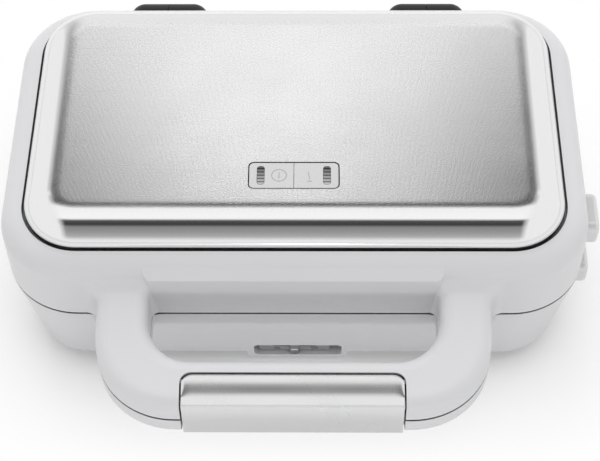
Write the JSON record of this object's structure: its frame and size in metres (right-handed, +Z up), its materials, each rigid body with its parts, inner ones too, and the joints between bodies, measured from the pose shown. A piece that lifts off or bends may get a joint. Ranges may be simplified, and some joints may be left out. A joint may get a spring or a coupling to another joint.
{
  "type": "sandwich maker",
  "caption": "Countertop sandwich maker: hinged lid with a domed steel cover, front D handle with a closing clip, deep-well cooking plates, side release buttons and a heat slider.",
  "frame": {"origin": "on the surface it stands on, under the middle of its whole outline", "axes": "+Z up, +X to the user's right, -Y towards the user at the handle, +Y towards the hinges"},
  "size_m": [0.28, 0.249, 0.1025],
  "materials": {
    "white_plastic": "smooth off-white moulded plastic with a soft sheen",
    "cover_steel": "brushed stainless with a fine linen stipple on the flat top",
    "clip_metal": "satin silver metal",
    "button_silver": "satin silver lacquer",
    "black_plastic": "black moulded nylon",
    "grey_plastic": "dark grey moulded plastic",
    "rubber": "soft black rubber",
    "tray_steel": "bright aluminised sheet steel",
    "coated_aluminium": "cast aluminium with a dark ceramic non-stick coating",
    "element_sheath": "heat-darkened steel sheath",
    "tile_silver": "satin silver tile",
    "lens_dark": "smoked translucent lens",
    "board": "bare phenolic board",
    "lamp_glass": "clear neon lamp",
    "screw_steel": "zinc-plated steel",
    "pin_steel": "ground steel",
    "lead_insulation": "white glass-fibre sleeved lead",
    "terminal_plastic": "pale nylon",
    "thermostat_metal": "pressed metal cup"
  },
  "bodies": {
    "base": {"base_housing": "white_plastic", "base_bottom_cover": "grey_plastic", "foot_front_left": "rubber", "foot_front_right": "rubber", "foot_rear_left": "rubber", "foot_rear_right": "rubber", "base_reflector_tray": "tray_steel", "lower_heating_element": "element_sheath", "lower_plate": "coated_aluminium", "thermostat": "thermostat_metal", "thermal_fuse": "thermostat_metal", "terminal_block": "terminal_plastic", "base_leads": "lead_insulation", "cord_gland": "black_plastic", "selector_bezel": "grey_plastic", "selector_switch": "black_plastic", "base_hinge_left": "black_plastic", "base_hinge_right": "black_plastic", "hinge_pin_left": "pin_steel", "hinge_pin_right": "pin_steel", "bottom_screws": "screw_steel", "base_tray_screws": "screw_steel", "base_hinge_screws": "screw_steel", "lower_button_spring": "pin_steel"},
    "lid": {"lid_housing": "white_plastic", "lid_cover": "cover_steel", "lid_reflector_tray": "tray_steel", "upper_heating_element": "element_sheath", "upper_plate": "coated_aluminium", "indicator_tile_left": "tile_silver", "indicator_tile_right": "tile_silver", "power_lens": "lens_dark", "ready_lens": "lens_dark", "indicator_board": "board", "indicator_lamps": "lamp_glass", "lid_hinge_left": "black_plastic", "lid_hinge_right": "black_plastic", "lid_tray_screws": "screw_steel", "lid_hinge_screws": "screw_steel", "board_screws": "screw_steel", "clip_pivot_pin": "pin_steel", "upper_button_spring": "pin_steel"},
    "clip": {"handle_clip": "clip_metal"},
    "upper_button": {"upper_release_button": "button_silver"},
    "lower_button": {"lower_release_button": "button_silver"},
    "slider": {"selector_slider": "grey_plastic"}
  },
  "joints": [
    {"name": "lid_hinge", "type": "hinge", "parent": "base", "child": "lid", "pos_m": [-0.003, 0.1155, 0.058], "axis": [-1, 0, 0], "range_deg": [0, 100]},
    {"name": "clip_pivot", "type": "hinge", "parent": "lid", "child": "clip", "pos_m": [-0.003, -0.1117, 0.0652], "axis": [-1, 0, 0], "range_deg": [0, 40]},
    {"name": "upper_button_press", "type": "slide", "parent": "lid", "child": "upper_button", "axis": [-1, 0, 0], "range_m": [0, 0.003], "stiffness_N_per_m": 800, "deforming": ["upper_button_spring"]},
    {"name": "lower_button_press", "type": "slide", "parent": "base", "child": "lower_button", "axis": [-1, 0, 0], "range_m": [0, 0.003], "stiffness_N_per_m": 800, "deforming": ["lower_button_spring"]},
    {"name": "heat_slide", "type": "slide", "parent": "base", "child": "slider", "axis": [1, 0, 0], "range_m": [-0.008, 0.008]}
  ]
}
